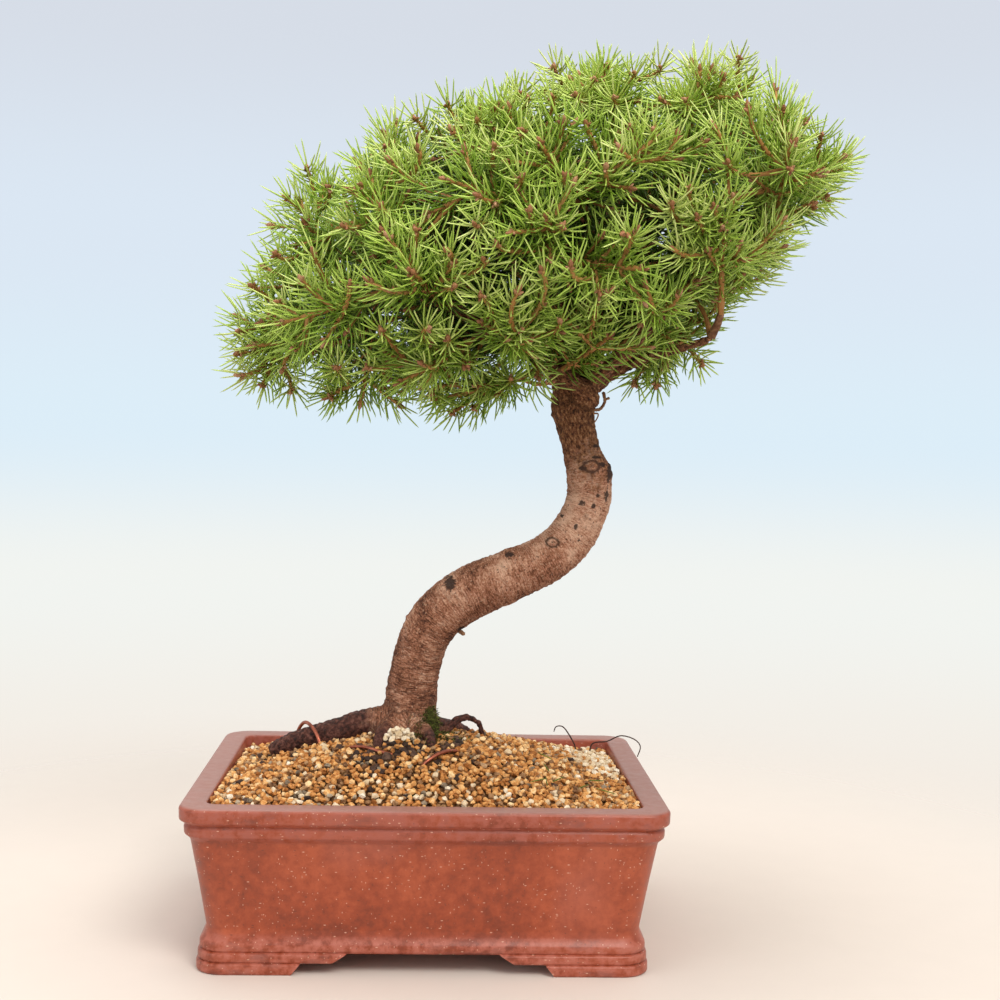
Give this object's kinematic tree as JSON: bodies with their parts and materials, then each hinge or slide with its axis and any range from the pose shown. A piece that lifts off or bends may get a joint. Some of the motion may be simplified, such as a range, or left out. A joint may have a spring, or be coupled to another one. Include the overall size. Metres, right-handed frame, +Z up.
{
  "type": "spruce bonsai in a rectangular pot",
  "caption": "Informal upright spruce bonsai: an S-curved trunk with surface roots and a broad needle crown, growing in a rectangular stoneware pot with cut feet.",
  "frame": {"origin": "middle of the whole object's footprint, on the surface that the pot stands on; the pot's own middle is 51 mm towards -X", "axes": "+Z up along the tree's height; +X to the right of the pictured front; -Y towards the viewer of that front"},
  "size_m": [0.3228, 0.2248, 0.4376],
  "materials": {
    "stoneware": "unglazed red-brown stoneware with a mauve-grey sheen on the rim and feet, and fine pale specks",
    "soil": "loose baked-clay and pumice grains, ochre, grey-brown and cream, matte",
    "bark": "thin flaky pink-brown bark, with fine rings across the bends and dark scars, matte",
    "foliage": "bright yellow-green needles with a soft sheen, on orange-brown shoots with reddish buds",
    "wire": "copper-brown anodised, satin",
    "mesh": "black moulded net"
  },
  "bodies": {
    "root": {"pot": "stoneware", "soil": "soil", "trunk": "bark", "drain_mesh_left": "mesh", "drain_mesh_right": "mesh", "tie_wire_left": "wire", "tie_wire_middle": "wire", "tie_wire_right": "wire", "spray_01": "foliage", "spray_02": "foliage", "spray_03": "foliage", "spray_04": "foliage", "spray_05": "foliage", "spray_06": "foliage", "spray_07": "foliage", "spray_08": "foliage", "spray_09": "foliage", "spray_10": "foliage", "spray_11": "foliage", "spray_12": "foliage", "spray_13": "foliage", "spray_14": "foliage", "spray_15": "foliage", "spray_16": "foliage", "spray_17": "foliage", "spray_18": "foliage", "spray_19": "foliage", "spray_20": "foliage", "spray_21": "foliage", "spray_22": "foliage", "spray_23": "foliage", "spray_24": "foliage", "spray_25": "foliage", "spray_26": "foliage", "spray_27": "foliage", "spray_28": "foliage", "spray_29": "foliage", "spray_30": "foliage", "spray_31": "foliage", "spray_32": "foliage", "spray_33": "foliage", "spray_34": "foliage", "spray_35": "foliage", "spray_36": "foliage", "spray_37": "foliage", "spray_38": "foliage", "spray_39": "foliage", "spray_40": "foliage", "spray_41": "foliage", "spray_42": "foliage", "spray_43": "foliage", "spray_44": "foliage", "spray_45": "foliage", "spray_46": "foliage", "spray_47": "foliage", "spray_48": "foliage", "spray_49": "foliage"}
  },
  "joints": []
}
